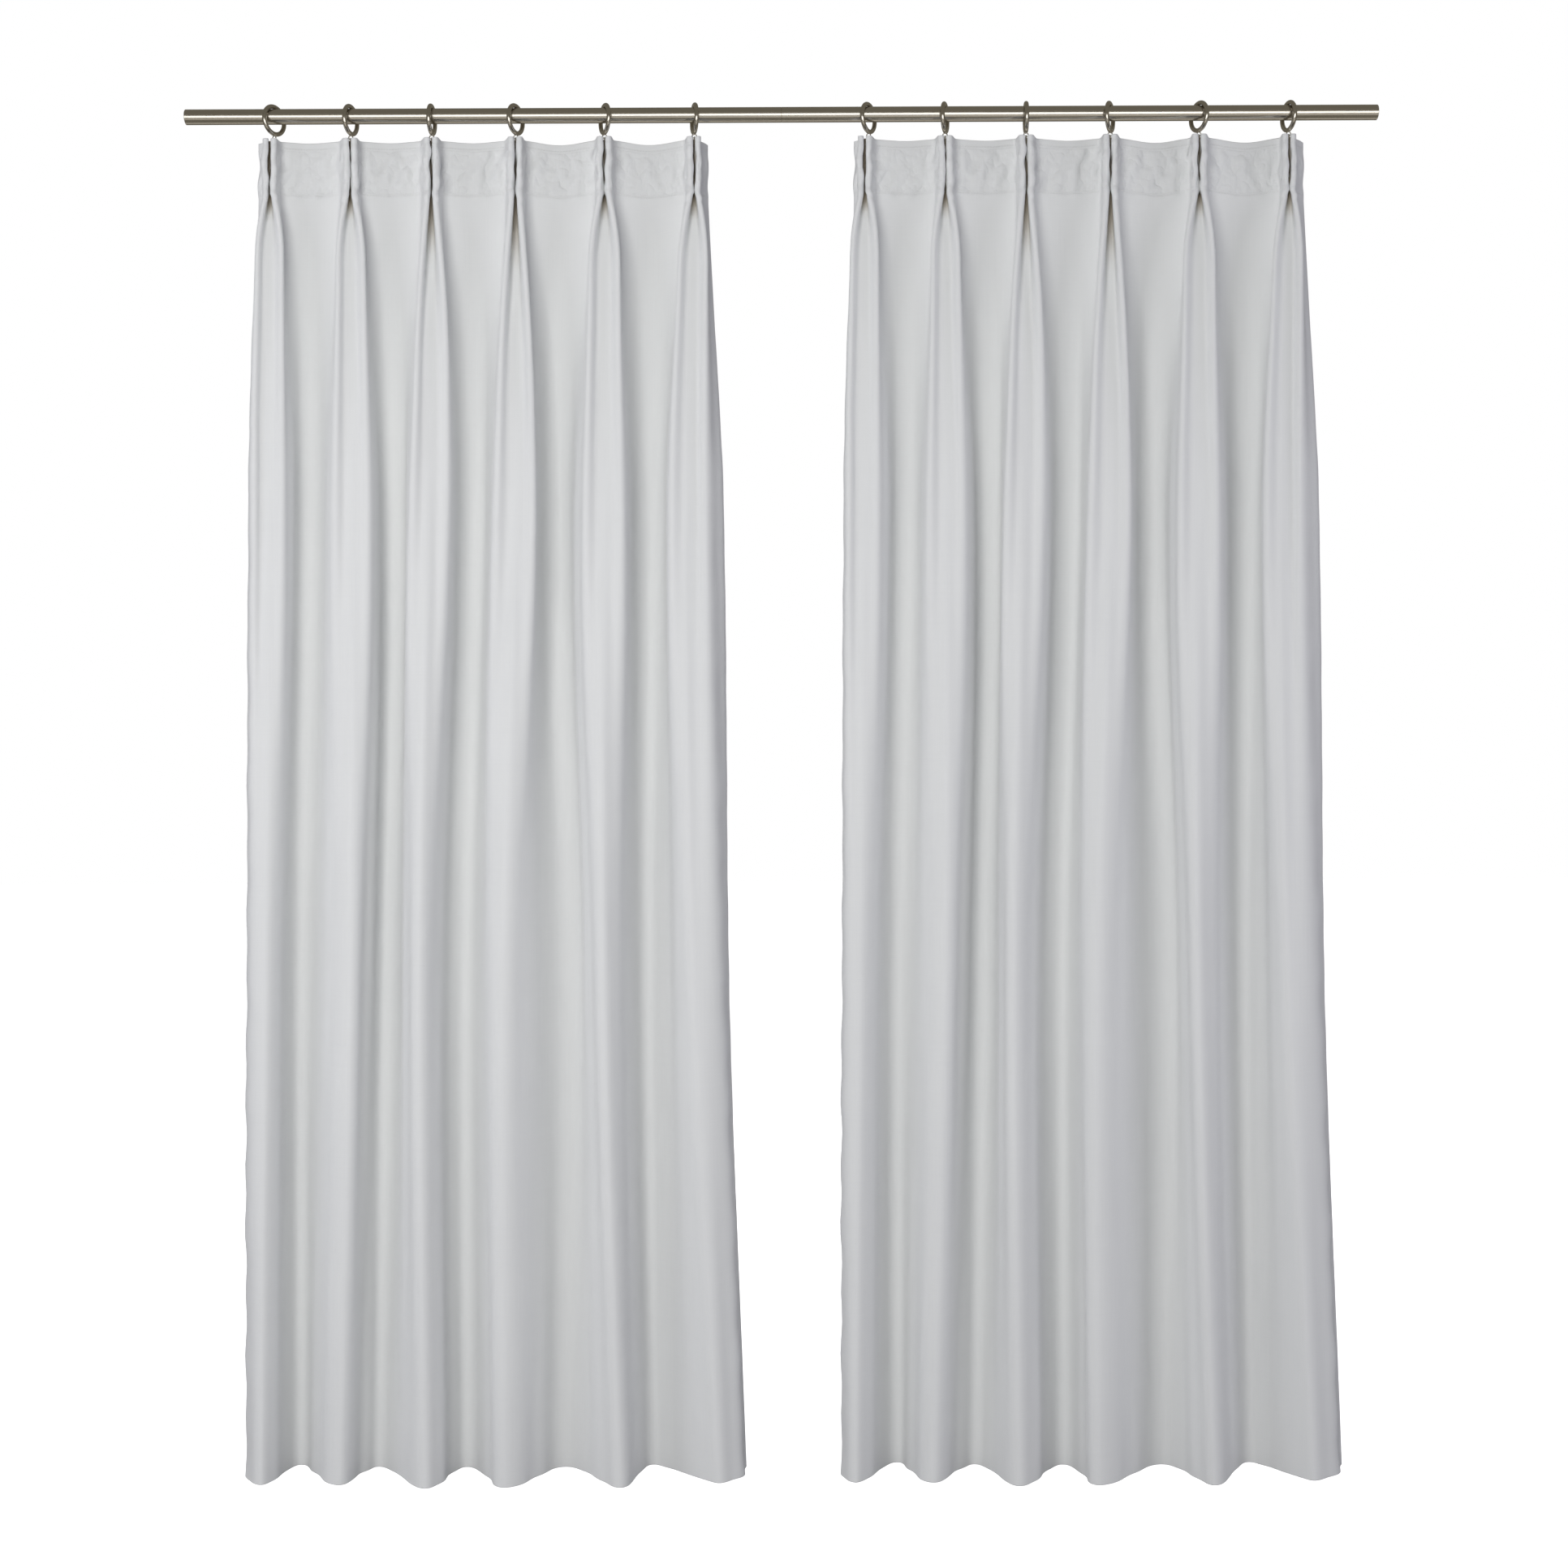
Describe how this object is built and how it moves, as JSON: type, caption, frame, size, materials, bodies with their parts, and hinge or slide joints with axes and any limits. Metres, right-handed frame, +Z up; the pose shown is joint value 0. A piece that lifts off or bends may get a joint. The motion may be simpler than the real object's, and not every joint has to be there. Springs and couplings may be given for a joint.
{
  "type": "window curtains on a rod",
  "caption": "Pair of pinch-pleated curtains hung by metal rings and drapery hooks from a plain round rod; each curtain slides along the rod and gathers to its outer side.",
  "frame": {"origin": "on the rod's axis at its middle, where its two tubes meet and a centre bracket holds it", "axes": "+X along the rod to the right as seen from the room, -Y towards the room, +Z up"},
  "size_m": [1.908, 0.1123, 2.1948],
  "materials": {
    "rod_metal": "satin nickel, turned round the tube",
    "joiner_steel": "plain drawn steel",
    "ring_metal": "satin nickel",
    "hook_steel": "bright zinc-plated wire",
    "buckram": "stiff open-weave heading tape",
    "curtain_cloth": "fine plain weave with a soft sheen"
  },
  "bodies": {
    "rod": {"rod_tube_left": "rod_metal", "rod_tube_right": "rod_metal", "rod_joiner": "joiner_steel"},
    "left_curtain": {"left_curtain_cloth": "curtain_cloth", "left_heading_buckram": "buckram", "left_ring_1": "ring_metal", "left_hook_1": "hook_steel"},
    "left_carrier_6": {"left_ring_6": "ring_metal", "left_hook_6": "hook_steel"},
    "left_carrier_2": {"left_ring_2": "ring_metal", "left_hook_2": "hook_steel"},
    "left_carrier_3": {"left_ring_3": "ring_metal", "left_hook_3": "hook_steel"},
    "left_carrier_4": {"left_ring_4": "ring_metal", "left_hook_4": "hook_steel"},
    "left_carrier_5": {"left_ring_5": "ring_metal", "left_hook_5": "hook_steel"},
    "right_curtain": {"right_curtain_cloth": "curtain_cloth", "right_heading_buckram": "buckram", "right_ring_6": "ring_metal", "right_hook_6": "hook_steel"},
    "right_carrier_1": {"right_ring_1": "ring_metal", "right_hook_1": "hook_steel"},
    "right_carrier_2": {"right_ring_2": "ring_metal", "right_hook_2": "hook_steel"},
    "right_carrier_3": {"right_ring_3": "ring_metal", "right_hook_3": "hook_steel"},
    "right_carrier_4": {"right_ring_4": "ring_metal", "right_hook_4": "hook_steel"},
    "right_carrier_5": {"right_ring_5": "ring_metal", "right_hook_5": "hook_steel"}
  },
  "joints": [
    {"name": "left_curtain_slide", "type": "slide", "parent": "rod", "child": "left_curtain", "axis": [1, 0, 0], "range_m": [-0.1, 0.065]},
    {"name": "left_gather", "type": "slide", "parent": "left_curtain", "child": "left_carrier_6", "axis": [-1, 0, 0], "range_m": [0, 0.44867], "deforming": ["left_curtain_cloth", "left_heading_buckram"]},
    {"name": "left_gather_2", "type": "slide", "parent": "left_curtain", "child": "left_carrier_2", "axis": [-1, 0, 0], "range_m": [0, 0.08167]},
    {"name": "left_gather_3", "type": "slide", "parent": "left_curtain", "child": "left_carrier_3", "axis": [-1, 0, 0], "range_m": [0, 0.16817]},
    {"name": "left_gather_4", "type": "slide", "parent": "left_curtain", "child": "left_carrier_4", "axis": [-1, 0, 0], "range_m": [0, 0.25791]},
    {"name": "left_gather_5", "type": "slide", "parent": "left_curtain", "child": "left_carrier_5", "axis": [-1, 0, 0], "range_m": [0, 0.35293]},
    {"name": "right_curtain_slide", "type": "slide", "parent": "rod", "child": "right_curtain", "axis": [1, 0, 0], "range_m": [-0.065, 0.1]},
    {"name": "right_gather", "type": "slide", "parent": "right_curtain", "child": "right_carrier_1", "axis": [1, 0, 0], "range_m": [0, 0.44867], "deforming": ["right_curtain_cloth", "right_heading_buckram"]},
    {"name": "right_gather_2", "type": "slide", "parent": "right_curtain", "child": "right_carrier_2", "axis": [1, 0, 0], "range_m": [0, 0.36702]},
    {"name": "right_gather_3", "type": "slide", "parent": "right_curtain", "child": "right_carrier_3", "axis": [1, 0, 0], "range_m": [0, 0.28052]},
    {"name": "right_gather_4", "type": "slide", "parent": "right_curtain", "child": "right_carrier_4", "axis": [1, 0, 0], "range_m": [0, 0.19078]},
    {"name": "right_gather_5", "type": "slide", "parent": "right_curtain", "child": "right_carrier_5", "axis": [1, 0, 0], "range_m": [0, 0.09576]}
  ],
  "couplings": [
    {"joint": "left_gather_2", "follows": "left_gather", "ratio": 0.182},
    {"joint": "left_gather_3", "follows": "left_gather", "ratio": 0.3748},
    {"joint": "left_gather_4", "follows": "left_gather", "ratio": 0.5748},
    {"joint": "left_gather_5", "follows": "left_gather", "ratio": 0.7866},
    {"joint": "right_gather_2", "follows": "right_gather", "ratio": 0.818},
    {"joint": "right_gather_3", "follows": "right_gather", "ratio": 0.6252},
    {"joint": "right_gather_4", "follows": "right_gather", "ratio": 0.4252},
    {"joint": "right_gather_5", "follows": "right_gather", "ratio": 0.2134}
  ]
}
